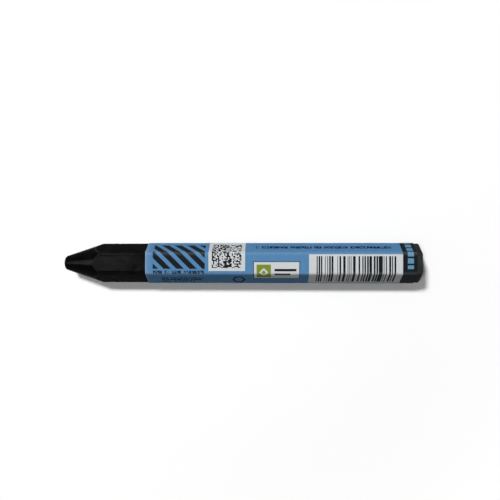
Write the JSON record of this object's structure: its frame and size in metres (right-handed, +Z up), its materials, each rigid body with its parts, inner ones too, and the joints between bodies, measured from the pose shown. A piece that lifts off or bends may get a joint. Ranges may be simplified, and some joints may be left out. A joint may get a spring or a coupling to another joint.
{
  "type": "lumber crayon",
  "caption": "Hexagonal lumber crayon: a black wax marking stick with a blunt conical point, wrapped in a blue printed paper label that leaves the point and the butt bare.",
  "frame": {"origin": "under the middle of the crayon's length, on the surface that its lower flat lies on", "axes": "+X along the crayon from the point to the butt, +Z up, square to the flats on top and below"},
  "size_m": [0.12, 0.0136, 0.0121],
  "materials": {
    "marking_wax": "satin black wax, cast, with a turned point",
    "label_paper": "coated paper printed blue, black and white"
  },
  "bodies": {
    "root": {"marking_stick": "marking_wax", "paper_label": "label_paper"}
  },
  "joints": []
}
